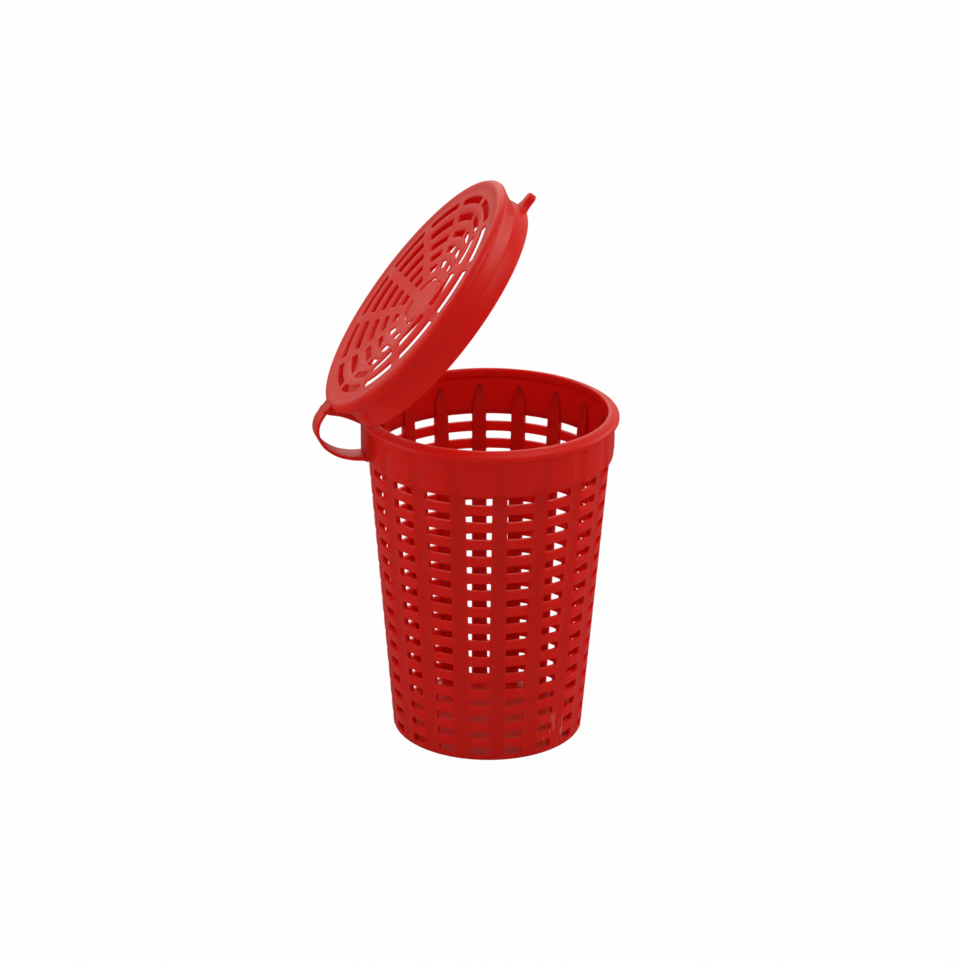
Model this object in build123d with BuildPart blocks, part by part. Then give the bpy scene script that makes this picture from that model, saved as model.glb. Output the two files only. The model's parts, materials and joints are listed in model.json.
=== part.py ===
from build123d import *
import os
from math import cos, pi, radians, sin

os.makedirs("parts", exist_ok=True)

# Basket: a tapered cup. Origin at the middle of its underside, +Z up, the strap on the -X side.
base_radius = 33.0
wall_height = 100.5
wall = 1.3
floor_thickness = 1.8
base_round = 0.6

# Slots in the basket wall, in rows of one slot between each two uprights
slot_rows = 16
uprights = 18
slot_height = 2.9
slot_floor_margin = 0.25
slot_top_margin = 0.75
upright_width_low = 5.8
upright_width_high = 5.0
flute_depth = 0.3

# Ribs inside the wall, one behind each upright, fading out below the rim
rib_width = 4.8
rib_proud = 1.1
rib_round = 0.8
rib_full_margin = 10.2
rib_tip_margin = 2.7

# Rolled rim, and the plain collar under it: each step inwards is measured from the one outside it
rim_radius = 44.0
rim_width = 3.9
rim_height = 3.1
rim_side = 1.7
rim_crest_inset = 2.4
rim_step = 1.5
collar_height = 12.7
collar_step = 1.37
rim_round_side = 1.2
rim_round_crest_out = 1.5
rim_round_crest_in = 0.9
rim_round_low_out = 0.6
rim_round_low_in = 0.8

# Strap, its block on the collar and its pad on the lid
strap_width = 7.9
strap_thickness = 1.05
anchor_inset = 0.3
anchor_drop = 10.1
anchor_root = 1.0
strap_flare = 1.6
strap_sections = 25
strap_loop = ((5.3, 1.0), (11.1, 3.3), (15.1, 7.3), (16.2, 11.7))
pad_proud = 2.0
pad_height = 10.3
pad_sink = 0.2
pad_foot_cut = 1.6
pad_foot_rise = 7.0

# Lid, in its own frame: origin at the middle of its lip, +Z out through the grille
lip_clearance = 0.8
lip_wall = 1.1
lip_round = 0.45
waist_depth = 0.6
waist_height = 5.5
shoulder_flare = 2.0
shoulder_height = 13.4
shoulder_round = 2.2
grille_inset = 5.0
grille_thickness = 0.8
grille_sink = 0.55
dish_depth = 4.1
dish_floor_share = 0.167
dish_brink_share = 0.873

# Slots in the grille: rings of slots between straight spokes
spokes = 12
slot_ring_shares = (0.918, 0.773, 0.63, 0.486, 0.347)
slot_ring_width = 3.0
spoke_width = 3.8
inner_ring_share = 0.199
inner_ring_slots = 4

# Thumb tab opposite the strap
tab_length = 5.8
tab_width = 4.2
tab_thickness = 2.6
tab_lift = 0.1
tab_turn = -5.0

# Where the lid stands: opened about one skewed axis beside the rim
lid_opening = 51.0
hinge_skew = 8.2
hinge_inset = 0.38
hinge_rise = -0.96
lip_lift = -1.31

# Sizes that follow from the ones above
collar_radius = rim_radius - rim_step
wall_top_radius = collar_radius - collar_step
mouth_radius = rim_radius - rim_width
anchor_face = rim_radius - anchor_inset
lip_radius = rim_radius + lip_clearance
waist_radius = lip_radius - waist_depth
shoulder_radius = lip_radius + shoulder_flare
grille_radius = shoulder_radius - grille_inset
dish_floor_radius = grille_radius * dish_floor_share
dish_brink_radius = grille_radius * dish_brink_share
dish_brink_height = shoulder_height - grille_sink
hinge_reach = lip_radius - hinge_inset
wall_slope = (wall_top_radius - base_radius) / wall_height
collar_top = wall_height + collar_height
rim_top = collar_top + rim_height
slot_field_low = floor_thickness + slot_floor_margin
slot_pitch = (wall_height - slot_top_margin - slot_field_low - slot_height) / (slot_rows - 1)
upright_pitch = 360 / uprights


def wall_outside(height):
    """Radius of the basket's outside at a height."""
    return base_radius + wall_slope * height


def wall_inside(height):
    """Radius of the basket's inside at a height."""
    return wall_outside(height) - wall


def upright_width(height):
    """Width of an upright at a height: they narrow a little towards the collar."""
    share = height / wall_height
    return upright_width_low + (upright_width_high - upright_width_low) * share


def slot_width(height):
    """Gap between two uprights at a height."""
    return 2 * pi * wall_outside(height) / uprights - upright_width(height)


# The hinge axis is level, beside the rim, and turned a little from square to the strap
axis_direction = Vector(-sin(radians(hinge_skew)), -cos(radians(hinge_skew)), 0)
hinge_point = Vector(
    -hinge_reach * cos(radians(hinge_skew)),
    hinge_reach * sin(radians(hinge_skew)),
    rim_top + hinge_rise,
)


def swing(direction):
    """A direction of the closed lid, turned to the opened lid."""
    return Vector(*direction).rotate(Axis((0, 0, 0), axis_direction), lid_opening)


closed_origin = Vector(0, 0, rim_top + lip_lift)
lid_origin = hinge_point + swing(tuple(closed_origin - hinge_point))
lid_plane = Plane(origin=lid_origin, x_dir=swing((1, 0, 0)), z_dir=swing((0, 0, 1)))
lid_section = Plane(origin=lid_origin, x_dir=lid_plane.x_dir, z_dir=-lid_plane.y_dir)
lid_axis = Axis(lid_origin, lid_plane.z_dir)
print("hinge point", hinge_point, "direction", axis_direction)
print("lid origin", lid_origin, "normal", lid_plane.z_dir)

# Floor: a disc inside the foot of the wall
with BuildPart() as floor:
    with BuildSketch(Plane.XZ):
        with BuildLine():
            Polyline(
                (0, 0),
                (wall_inside(0), 0),
                (wall_inside(floor_thickness), floor_thickness),
                (0, floor_thickness),
                close=True,
            )
        make_face()
    revolve(axis=Axis.Z)
floor.part.label = "floor"
export_step(floor.part, "parts/floor.step")

# Cutters for the wall: one column of slots, and one shallow outside flute down an upright
with BuildPart() as slot_column:
    for row in range(slot_rows):
        height = slot_field_low + slot_height / 2 + row * slot_pitch
        with Locations((wall_outside(height) - wall / 2, 0, height)):
            Box(3 * wall, slot_width(height), slot_height)

with BuildPart() as wall_flute:
    with BuildSketch(Plane.XZ):
        with BuildLine():
            Polyline(
                (wall_outside(0) - flute_depth, 0),
                (wall_outside(wall_height) - flute_depth, wall_height),
                (wall_outside(wall_height) + wall, wall_height),
                (wall_outside(0) + wall, 0),
                close=True,
            )
        make_face()
    extrude(amount=upright_width_high / 2, both=True)

# Slotted wall: a cone shell, fluted outside, with the slots cut between the uprights
with BuildPart() as basket_wall:
    with BuildSketch(Plane.XZ):
        with BuildLine():
            Polyline(
                (wall_inside(0), 0),
                (wall_outside(0), 0),
                (wall_outside(wall_height), wall_height),
                (wall_inside(wall_height), wall_height),
                close=True,
            )
        make_face()
    revolve(axis=Axis.Z)
    foot_edge = basket_wall.edges().filter_by(GeomType.CIRCLE).group_by(Axis.Z)[0].sort_by(SortBy.RADIUS)[-1]
    fillet(foot_edge, radius=base_round)
    with PolarLocations(0, uprights):
        add(wall_flute.part, mode=Mode.SUBTRACT)
    with PolarLocations(0, uprights, start_angle=upright_pitch / 2):
        add(slot_column.part, mode=Mode.SUBTRACT)
basket_wall.part.label = "basket_wall"
export_step(basket_wall.part, "parts/basket_wall.step")

# Inside rib: a bar with a rounded nose, cut to the cone behind it and fading out towards the rim
rib_full_top = collar_top - rib_full_margin
rib_tip = collar_top - rib_tip_margin
with BuildPart() as inner_rib:
    with BuildSketch(Plane.XZ):
        with BuildLine():
            Polyline(
                (wall_inside(floor_thickness) - rib_proud, floor_thickness),
                (wall_inside(rib_full_top) - rib_proud, rib_full_top),
                (wall_inside(rib_tip), rib_tip),
                (wall_inside(rib_tip) + wall, rib_tip),
                (wall_inside(floor_thickness) + wall, floor_thickness),
                close=True,
            )
        make_face()
    extrude(amount=rib_width / 2, both=True)
    nose_edges = inner_rib.edges().filter_by(
        lambda edge: abs(abs(edge.center().Y) - rib_width / 2) < 0.01
        and abs(edge.tangent_at(0.5).Z) > 0.5
        and edge.center().X < wall_inside(edge.center().Z) - 0.01
    )
    fillet(nose_edges, radius=rib_round)
    with BuildSketch(Plane.XZ):
        with BuildLine():
            Polyline(
                (0, 0),
                (wall_inside(0), 0),
                (wall_inside(collar_top), collar_top),
                (0, collar_top),
                close=True,
            )
        make_face()
    revolve(axis=Axis.Z, mode=Mode.INTERSECT)

with BuildPart() as inner_ribs:
    with PolarLocations(0, uprights):
        add(inner_rib.part)
inner_ribs.part.label = "inner_ribs"
export_step(inner_ribs.part, "parts/inner_ribs.step")

# Collar: the plain band above the slots, one step proud of the wall
with BuildPart() as collar_band:
    with BuildSketch(Plane.XZ):
        with BuildLine():
            Polyline(
                (wall_inside(wall_height), wall_height),
                (collar_radius, wall_height),
                (collar_radius, collar_top),
                (wall_inside(collar_top), collar_top),
                close=True,
            )
        make_face()
    revolve(axis=Axis.Z)
    with PolarLocations(collar_radius, uprights):
        with Locations((0, 0, wall_height + collar_height / 2)):
            Box(2 * flute_depth, upright_width_high, collar_height, mode=Mode.SUBTRACT)
collar_band.part.label = "collar_band"
export_step(collar_band.part, "parts/collar_band.step")

# Rim: a bead that stands out past the collar, with a short side and a top that rises inwards
with BuildPart() as rim_bead:
    with BuildSketch(Plane.XZ):
        with BuildLine():
            FilletPolyline(
                (mouth_radius, collar_top),
                (rim_radius, collar_top),
                (rim_radius, collar_top + rim_side),
                (rim_radius - rim_crest_inset, rim_top),
                (mouth_radius, rim_top),
                radius=(
                    rim_round_low_in,
                    rim_round_low_out,
                    rim_round_side,
                    rim_round_crest_out,
                    rim_round_crest_in,
                ),
                close=True,
            )
        make_face()
    revolve(axis=Axis.Z)
rim_bead.part.label = "rim_bead"
export_step(rim_bead.part, "parts/rim_bead.step")

# Anchor: the block on the collar that the strap grows out of, flush with the rim
anchor_low = collar_top - anchor_drop
with BuildPart() as strap_anchor:
    with BuildSketch(Plane.XY.offset(anchor_low)):
        with Locations((-(collar_radius - anchor_root + anchor_face) / 2, 0)):
            Rectangle(anchor_face - collar_radius + anchor_root, strap_width)
        Circle(collar_radius - flute_depth, mode=Mode.SUBTRACT)
    extrude(amount=anchor_drop)
    add(collar_band.part, mode=Mode.SUBTRACT)
strap_anchor.part.label = "strap_anchor"
export_step(strap_anchor.part, "parts/strap_anchor.step")

# Lid grille: a thin dished plate with rings of slots between straight spokes
def grille_height(radius):
    """Height of the grille's top: level at the edge and in the middle, with a soft slope between."""
    share = (radius - dish_floor_radius) / (dish_brink_radius - dish_floor_radius)
    share = min(max(share, 0), 1)
    return dish_brink_height - dish_depth * (1 - share**2 * (3 - 2 * share))


grille_stations = [grille_radius * step / 8 for step in range(9)]
grille_top = [(radius, grille_height(radius)) for radius in grille_stations]
grille_bottom = [(radius, height - grille_thickness) for radius, height in grille_top]
with BuildPart() as lid_grille:
    with BuildSketch(lid_section):
        with BuildLine():
            Spline(*grille_bottom, tangents=[(1, 0), (1, 0)])
            Line(grille_bottom[-1], grille_top[-1])
            Spline(*grille_top, tangents=[(1, 0), (1, 0)])
            Line(grille_top[0], grille_bottom[0])
        make_face()
    revolve(axis=lid_axis)
    with BuildSketch(lid_plane) as ring_slots:
        for share in slot_ring_shares:
            Circle(grille_radius * share + slot_ring_width / 2)
            Circle(grille_radius * share - slot_ring_width / 2, mode=Mode.SUBTRACT)
        with PolarLocations(grille_radius / 2, spokes):
            Rectangle(grille_radius, spoke_width, mode=Mode.SUBTRACT)
    extrude(amount=2 * shoulder_height, mode=Mode.SUBTRACT)
    with BuildSketch(lid_plane) as inner_slots:
        Circle(grille_radius * inner_ring_share + slot_ring_width / 2)
        Circle(grille_radius * inner_ring_share - slot_ring_width / 2, mode=Mode.SUBTRACT)
        with PolarLocations(grille_radius / 2, inner_ring_slots):
            Rectangle(grille_radius, spoke_width, mode=Mode.SUBTRACT)
    extrude(amount=2 * shoulder_height, mode=Mode.SUBTRACT)
lid_grille.part.label = "lid_grille"
export_step(lid_grille.part, "parts/lid_grille.step")

# Lid skirt: a rounded shoulder round the grille, a soft waist, and a lip that flares again
skirt_corner = shoulder_height - shoulder_round
shoulder_middle = (shoulder_radius - shoulder_round, skirt_corner)
grille_edge = grille_height(grille_radius)


def on_shoulder(radius):
    """Point halfway round the shoulder's bend, at a radius from the bend's middle."""
    return (shoulder_middle[0] + radius * sin(pi / 4), shoulder_middle[1] + radius * cos(pi / 4))


# Lid envelope: the lid's outside, filled solid, that its pad and tab are cut back to
with BuildPart() as lid_envelope:
    with BuildSketch(lid_section):
        with BuildLine():
            Polyline(
                (shoulder_middle[0], shoulder_height),
                (grille_radius, grille_edge),
                (0, grille_edge),
                (0, 0),
                (lip_radius, 0),
            )
            Spline(
                (lip_radius, 0),
                (waist_radius, waist_height),
                (shoulder_radius, skirt_corner),
                tangents=[(0, 1), (0, 1)],
            )
            ThreePointArc(
                (shoulder_radius, skirt_corner),
                on_shoulder(shoulder_round),
                (shoulder_middle[0], shoulder_height),
            )
        make_face()
    revolve(axis=lid_axis)

with BuildPart() as lid_skirt:
    with BuildSketch(lid_section):
        with BuildLine():
            Spline(
                (lip_radius, 0),
                (waist_radius, waist_height),
                (shoulder_radius, skirt_corner),
                tangents=[(0, 1), (0, 1)],
            )
            ThreePointArc(
                (shoulder_radius, skirt_corner),
                on_shoulder(shoulder_round),
                (shoulder_middle[0], shoulder_height),
            )
            Polyline(
                (shoulder_middle[0], shoulder_height),
                (grille_radius, grille_edge),
                (grille_radius, grille_edge - grille_thickness),
                (shoulder_middle[0], shoulder_height - lip_wall),
            )
            ThreePointArc(
                (shoulder_middle[0], shoulder_height - lip_wall),
                on_shoulder(shoulder_round - lip_wall),
                (shoulder_radius - lip_wall, skirt_corner),
            )
            Spline(
                (shoulder_radius - lip_wall, skirt_corner),
                (waist_radius - lip_wall, waist_height),
                (lip_radius - lip_wall, 0),
                tangents=[(0, -1), (0, -1)],
            )
            Line((lip_radius - lip_wall, 0), (lip_radius, 0))
        make_face()
    revolve(axis=lid_axis)
    lip_edges = lid_skirt.edges().group_by(lid_axis)[0]
    fillet(lip_edges, radius=lip_round)
lid_skirt.part.label = "lid_skirt"
export_step(lid_skirt.part, "parts/lid_skirt.step")

# Strap pad: a block down the outside of the skirt, level with the shoulder's top
pad_face = shoulder_radius + pad_proud
pad_top = shoulder_height - pad_sink
with BuildPart() as strap_pad:
    with BuildSketch(lid_plane.offset(pad_top - pad_height)):
        with Locations((-(shoulder_middle[0] + pad_face) / 2, 0)):
            Rectangle(pad_face - shoulder_middle[0], strap_width)
    extrude(amount=pad_height)
    pad_foot = strap_pad.edges().filter_by(Axis(lid_origin, lid_plane.y_dir)).group_by(lid_axis)[0]
    chamfer(pad_foot.sort_by(Axis(lid_origin, lid_plane.x_dir))[0], length=pad_foot_rise, length2=pad_foot_cut)
    add(lid_envelope.part, mode=Mode.SUBTRACT)
strap_pad.part.label = "strap_pad"
export_step(strap_pad.part, "parts/strap_pad.step")

# Thumb tab: a flat nib with a round end, level with the lip
with BuildPart() as thumb_tab:
    with BuildSketch(lid_plane.offset(tab_lift)):
        with PolarLocations(lip_radius, 1, start_angle=tab_turn):
            SlotCenterToCenter(2 * (tab_length - tab_width / 2), tab_width)
    extrude(amount=tab_thickness)
    add(lid_envelope.part, mode=Mode.SUBTRACT)
thumb_tab.part.label = "thumb_tab"
export_step(thumb_tab.part, "parts/thumb_tab.step")

# Strap: one flat band from the anchor's foot, out and up in a loop, to the top of the pad
strap_root = Vector(-anchor_face, 0, anchor_low + strap_thickness / 2)
strap_end = lid_plane.from_local_coords(Vector(-pad_face, 0, pad_top - strap_thickness / 2))
loop_points = [strap_root]
for reach, rise in strap_loop:
    height = anchor_low + rise
    share = (height - strap_root.Z) / (strap_end.Z - strap_root.Z)
    loop_points.append(Vector(-anchor_face - reach, strap_end.Y * share, height))
loop_points.append(strap_end)
strap_line = Edge.make_spline(loop_points, tangents=[Vector(-1, 0, 0), lid_plane.x_dir])
print("strap length", round(strap_line.length, 2))
end_width_dir = lid_plane.y_dir
with BuildPart() as hinge_strap:
    for station in range(strap_sections):
        share = station / (strap_sections - 1)
        along = strap_line.tangent_at(share)
        across = Vector(0, 1, 0) * (1 - share) + end_width_dir * share
        width = strap_width + strap_flare * share**4
        section_plane = Plane(origin=strap_line.position_at(share), x_dir=across, z_dir=along)
        with BuildSketch(section_plane):
            Rectangle(width, strap_thickness)
    loft(ruled=True)
hinge_strap.part.label = "hinge_strap"
export_step(hinge_strap.part, "parts/hinge_strap.step")
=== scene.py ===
# %% [markdown]
# A fishing bait box: a tapered red basket with slotted walls, a rolled rim, and a dished
# grille lid that hangs on a bending strap. The real one is a single injection moulding, so
# every piece here has the same satin plastic and the pieces meet without gaps.
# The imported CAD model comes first. It is the fixed frame that each new piece is built on.

import json
import math

import bmesh
import bpy
from mathutils import Matrix, Vector


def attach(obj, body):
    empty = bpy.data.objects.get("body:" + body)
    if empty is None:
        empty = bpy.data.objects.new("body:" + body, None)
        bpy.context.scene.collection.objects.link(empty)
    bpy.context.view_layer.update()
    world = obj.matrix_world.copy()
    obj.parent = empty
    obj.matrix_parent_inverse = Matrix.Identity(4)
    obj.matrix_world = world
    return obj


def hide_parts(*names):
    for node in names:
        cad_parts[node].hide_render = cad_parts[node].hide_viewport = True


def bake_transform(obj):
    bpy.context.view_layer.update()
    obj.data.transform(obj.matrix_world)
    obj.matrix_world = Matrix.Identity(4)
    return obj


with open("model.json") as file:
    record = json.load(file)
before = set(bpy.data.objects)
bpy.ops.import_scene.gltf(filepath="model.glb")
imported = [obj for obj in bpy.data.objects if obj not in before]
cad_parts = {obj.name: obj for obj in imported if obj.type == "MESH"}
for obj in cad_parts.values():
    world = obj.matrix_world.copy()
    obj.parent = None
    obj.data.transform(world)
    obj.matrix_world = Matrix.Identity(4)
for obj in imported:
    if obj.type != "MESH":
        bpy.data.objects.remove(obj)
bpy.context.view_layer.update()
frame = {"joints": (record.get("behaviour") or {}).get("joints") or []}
scene = bpy.context.scene

# %% [markdown]
# The camera goes in early, because the photograph decides it. The place, the aim and the lens
# come from the photograph: a long lens, a little above the rim, with the horizon almost level.
# A matrix built from the three camera directions says exactly where it looks.

# %% Camera
MM = 0.001
EYE = Vector((-243.516, -896.953, 456.316)) * MM
TARGET = Vector((-2.965, 0.795, 90.003)) * MM
ROLL = math.radians(0.305)
LENS = 109.68
SENSOR_WIDTH = 36.0


def add_object(name, data):
    """A new object for a camera, mesh, curve or lamp, linked to the scene."""
    made = bpy.data.objects.new(name, data)
    scene.collection.objects.link(made)
    return made


forward = (TARGET - EYE).normalized()
level_right = forward.cross(Vector((0, 0, 1))).normalized()
level_up = level_right.cross(forward)
right = level_right * math.cos(ROLL) + level_up * math.sin(ROLL)
up = level_up * math.cos(ROLL) - level_right * math.sin(ROLL)

camera_data = bpy.data.cameras.new("camera")
camera_data.lens = LENS
camera_data.sensor_width = SENSOR_WIDTH
camera = add_object("camera", camera_data)
camera_turn = Matrix((right, up, -forward)).transposed().to_4x4()
camera.matrix_world = Matrix.Translation(EYE) @ camera_turn
scene.camera = camera
print("camera lens", camera_data.lens)

# %% [markdown]
# One plastic covers the whole moulding. What varies over its surface, the pigment, the scuffs,
# the gloss and the relief, is built from nodes in short steps. All patterns read Object
# coordinates, and the objects sit at the origin, so the patterns run on from piece to piece.
# Three helpers come first, because they keep the node code short.

# %% Helpers for nodes
def add_node(tree, kind, **values):
    """A new node. A value goes to the input of that name, or else to the node itself."""
    made = tree.nodes.new(kind)
    for key, value in values.items():
        if key in made.inputs:
            made.inputs[key].default_value = value
        else:
            setattr(made, key, value)
    return made


def join(tree, source, out, target, into):
    """Links an output to an input."""
    tree.links.new(source.outputs[out], target.inputs[into])


def remap(tree, source, out, start=(0.0, 1.0), end=(0.0, 1.0)):
    """Maps an output from one range to another."""
    made = tree.nodes.new("ShaderNodeMapRange")
    made.inputs["From Min"].default_value, made.inputs["From Max"].default_value = start
    made.inputs["To Min"].default_value, made.inputs["To Max"].default_value = end
    join(tree, source, out, made, "Value")
    return made


# %% [markdown]
# The pigment drifts slowly between two deep reds, as it does in a cheap moulding. Near the
# foot the photograph shows pale scuffs. A stretched noise gives the scratches, and the
# distance from one place on the wall says where they show.

# %% Pigment and scuffs
PIGMENT_DEEP = (0.68, 0.004, 0.0015, 1)
PIGMENT_LIGHT = (0.76, 0.009, 0.003, 1)
SCUFF_COLOUR = (0.78, 0.30, 0.26, 1)
SCUFF_PLACE = Vector((16.0, -29.6, 8.5)) * MM
SCUFF_REACH = 9.0 * MM
SCUFF_FULL_SHARE = 0.3
SCRATCH_TURN = (0.5, 0.3, 0.2)
SCRATCH_STRETCH = (900, 900, 170)
SCRATCH_EDGES = (0.56, 0.72)


def add_pigment(tree, place):
    """Colour that drifts between the deep and the light pigment."""
    drift = add_node(tree, "ShaderNodeTexNoise", Scale=38.0, Detail=3.0)
    join(tree, place, "Object", drift, "Vector")
    pigment = add_node(tree, "ShaderNodeMix", data_type="RGBA")
    pigment.inputs[6].default_value = PIGMENT_DEEP
    pigment.inputs[7].default_value = PIGMENT_LIGHT
    join(tree, drift, "Fac", pigment, "Factor")
    return pigment


def add_scuffs(tree, place):
    """A mask of fine scratches that show only near one place."""
    away = add_node(tree, "ShaderNodeVectorMath", operation="DISTANCE")
    away.inputs[1].default_value = SCUFF_PLACE
    join(tree, place, "Object", away, 0)
    near = remap(tree, away, "Value", start=(SCUFF_REACH, SCUFF_REACH * SCUFF_FULL_SHARE))
    stretch = add_node(tree, "ShaderNodeMapping", Rotation=SCRATCH_TURN, Scale=SCRATCH_STRETCH)
    join(tree, place, "Object", stretch, "Vector")
    scratch = add_node(tree, "ShaderNodeTexNoise", Scale=1.0, Detail=4.0)
    join(tree, stretch, "Vector", scratch, "Vector")
    clear = remap(tree, scratch, "Fac", start=SCRATCH_EDGES)
    scuff = add_node(tree, "ShaderNodeMath", operation="MULTIPLY")
    join(tree, near, "Result", scuff, 0)
    join(tree, clear, "Result", scuff, 1)
    return scuff


print("scuffs reach", round(SCUFF_REACH / MM, 1), "mm")

# %% [markdown]
# The surface is satin. Its roughness varies in faint flow lines, stretched up the wall as the
# melt ran, and scuffs are rougher. The relief is two bumps, one on the other: a fine grain,
# and the slow waviness of a thin wall that shrank as it cooled.

# %% Gloss and relief
ROUGHNESS = (0.30, 0.44)
SCUFF_ROUGHNESS = 0.3
FLOW_STRETCH = (160, 160, 30)


def add_gloss(tree, place, scuff):
    """Roughness with flow lines, and more of it in the scuffs."""
    flow = add_node(tree, "ShaderNodeMapping", Scale=FLOW_STRETCH)
    join(tree, place, "Object", flow, "Vector")
    streak = add_node(tree, "ShaderNodeTexNoise", Scale=1.0, Detail=2.0)
    join(tree, flow, "Vector", streak, "Vector")
    smooth = remap(tree, streak, "Fac", end=ROUGHNESS)
    worn = add_node(tree, "ShaderNodeMath", operation="MULTIPLY")
    worn.inputs[1].default_value = SCUFF_ROUGHNESS
    join(tree, scuff, "Value", worn, 0)
    rough = add_node(tree, "ShaderNodeMath", operation="ADD")
    join(tree, smooth, "Result", rough, 0)
    join(tree, worn, "Value", rough, 1)
    return rough


def add_relief(tree, place):
    """A fine grain on a slow waviness."""
    grain = add_node(tree, "ShaderNodeTexNoise", Scale=2600.0, Detail=2.0)
    join(tree, place, "Object", grain, "Vector")
    grain_bump = add_node(tree, "ShaderNodeBump", Strength=0.10, Distance=0.00004)
    join(tree, grain, "Fac", grain_bump, "Height")
    wave = add_node(tree, "ShaderNodeTexNoise", Scale=150.0, Detail=1.0)
    join(tree, place, "Object", wave, "Vector")
    wave_bump = add_node(tree, "ShaderNodeBump", Strength=0.35, Distance=0.00025)
    join(tree, wave, "Fac", wave_bump, "Height")
    join(tree, grain_bump, "Normal", wave_bump, "Normal")
    return wave_bump


print("roughness", ROUGHNESS)

# %% [markdown]
# The numbers that are the same all over are set on the shader's own sockets. Red light goes
# into the wall and comes out again some way off, which keeps the shaded insides red.

# %% Red plastic
PLASTIC_SHADER = {
    "IOR": 1.5, "Specular IOR Level": 0.3, "Subsurface Weight": 0.8,
    "Subsurface Radius": (1.0, 0.07, 0.03), "Subsurface Scale": 3.5 * MM,
}


def make_red_plastic():
    """Satin red polyethylene with drifting pigment, flow lines, grain and one scuffed patch."""
    material = bpy.data.materials.new("red_plastic")
    material.use_nodes = True
    tree = material.node_tree
    shader = tree.nodes["Principled BSDF"]
    for socket, value in PLASTIC_SHADER.items():
        shader.inputs[socket].default_value = value
    place = add_node(tree, "ShaderNodeTexCoord")
    pigment = add_pigment(tree, place)
    scuff = add_scuffs(tree, place)
    worn = add_node(tree, "ShaderNodeMix", data_type="RGBA")
    worn.inputs[7].default_value = SCUFF_COLOUR
    join(tree, pigment, 2, worn, 6)
    join(tree, scuff, "Value", worn, "Factor")
    join(tree, worn, 2, shader, "Base Color")
    join(tree, add_gloss(tree, place, scuff), "Value", shader, "Roughness")
    join(tree, add_relief(tree, place), "Normal", shader, "Normal")
    return material


red_plastic = make_red_plastic()
print("material", red_plastic.name)

# %% [markdown]
# Every round piece starts as a line or a profile that is spun about the axis. A profile is
# drawn as one face, because then the bevel tool can round its corners, each with its own
# radius. The face is dropped before the spin and its edges are kept. Lengths are in
# millimetres until the piece is finished, which keeps the numbers readable.

# %% Helpers for profiles and spins
# The bevel's offset at a square corner, as a share of the radius that the corner gets.
CORNER_SHARE = 0.7071
# Points nearer than this are one point.
TINY = 0.001


def round_corners(bm, verts, rounding, segments):
    """Rounds corners of a flat face."""
    bmesh.ops.bevel(
        bm, geom=verts, offset=rounding * CORNER_SHARE, offset_type="OFFSET",
        affect="VERTICES", segments=segments, profile=0.5, material=-1,
    )


def draw_profile(bm, corners):
    """A closed profile in the XZ plane from (radius, height, corner radius) corners."""
    verts = [bm.verts.new((radius, 0, height)) for radius, height, _ in corners]
    bm.faces.new(verts)
    for vert, (_, _, rounding) in zip(verts, corners):
        if rounding:
            round_corners(bm, [vert], rounding, segments=5)
    bmesh.ops.delete(bm, geom=bm.faces[:], context="FACES_ONLY")


def draw_line(bm, points, closed=False):
    """A line in the XZ plane through (radius, height) points."""
    verts = [bm.verts.new((radius, 0, height)) for radius, height in points]
    ends = verts[1:] + verts[:1] if closed else verts[1:]
    for a, b in zip(verts, ends):
        bm.edges.new((a, b))


def spin_round(bm, steps):
    """Spins everything in the bmesh a full turn about the Z axis."""
    bmesh.ops.spin(
        bm, geom=bm.verts[:] + bm.edges[:], cent=(0, 0, 0), axis=(0, 0, 1), dvec=(0, 0, 0),
        angle=math.tau, steps=steps, use_merge=True, use_duplicate=False,
    )
    bmesh.ops.remove_doubles(bm, verts=bm.verts[:], dist=TINY)


# %% [markdown]
# Moulded edges are never sharp, so most pieces end with a small bevel along their edges. The
# last helper turns a bmesh into an object, hides the CAD nodes that it takes the place of, and
# attaches it to the body it moves with.

# %% Helpers for edges and finished pieces
SMOOTH_DEGREES = 38
SHARP_DEGREES = 50


def soften(bm, edges, width, segments=2):
    """Rounds the given edges."""
    bmesh.ops.bevel(
        bm, geom=edges, offset=width, offset_type="OFFSET", affect="EDGES",
        segments=segments, profile=0.5, material=-1, clamp_overlap=True,
    )


def sharp_edges(bm, least_degrees=SHARP_DEGREES):
    """Edges between two faces that meet at more than an angle."""
    least = math.radians(least_degrees)
    return [edge for edge in bm.edges if edge.is_manifold and edge.calc_face_angle() > least]


def finish_piece(name, bm, body, nodes, place=None):
    """Turns a bmesh in millimetres into a red plastic piece that stands for CAD nodes."""
    bmesh.ops.recalc_face_normals(bm, faces=bm.faces[:])
    bmesh.ops.scale(bm, verts=bm.verts[:], vec=(MM, MM, MM))
    if place is not None:
        bmesh.ops.transform(bm, verts=bm.verts[:], matrix=place)
    mesh = bpy.data.meshes.new(name)
    bm.to_mesh(mesh)
    bm.free()
    mesh.shade_smooth()
    mesh.set_sharp_from_angle(angle=math.radians(SMOOTH_DEGREES))
    mesh.materials.append(red_plastic)
    piece = add_object(name, mesh)
    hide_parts(*nodes)
    if body:
        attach(piece, body)
    print(name, "faces", len(mesh.polygons))
    return piece


# %% [markdown]
# The basket wall is a cone with 16 rows of slots between 18 uprights. One way to cut slots is
# a boolean. Here the grid is planned instead: a spun wall whose rows and columns already
# follow the slots, so that slots are made by deleting faces. Each sector of the grid is then
# shifted so that its columns follow the upright's edges, and bend round the slot's corners.

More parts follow.
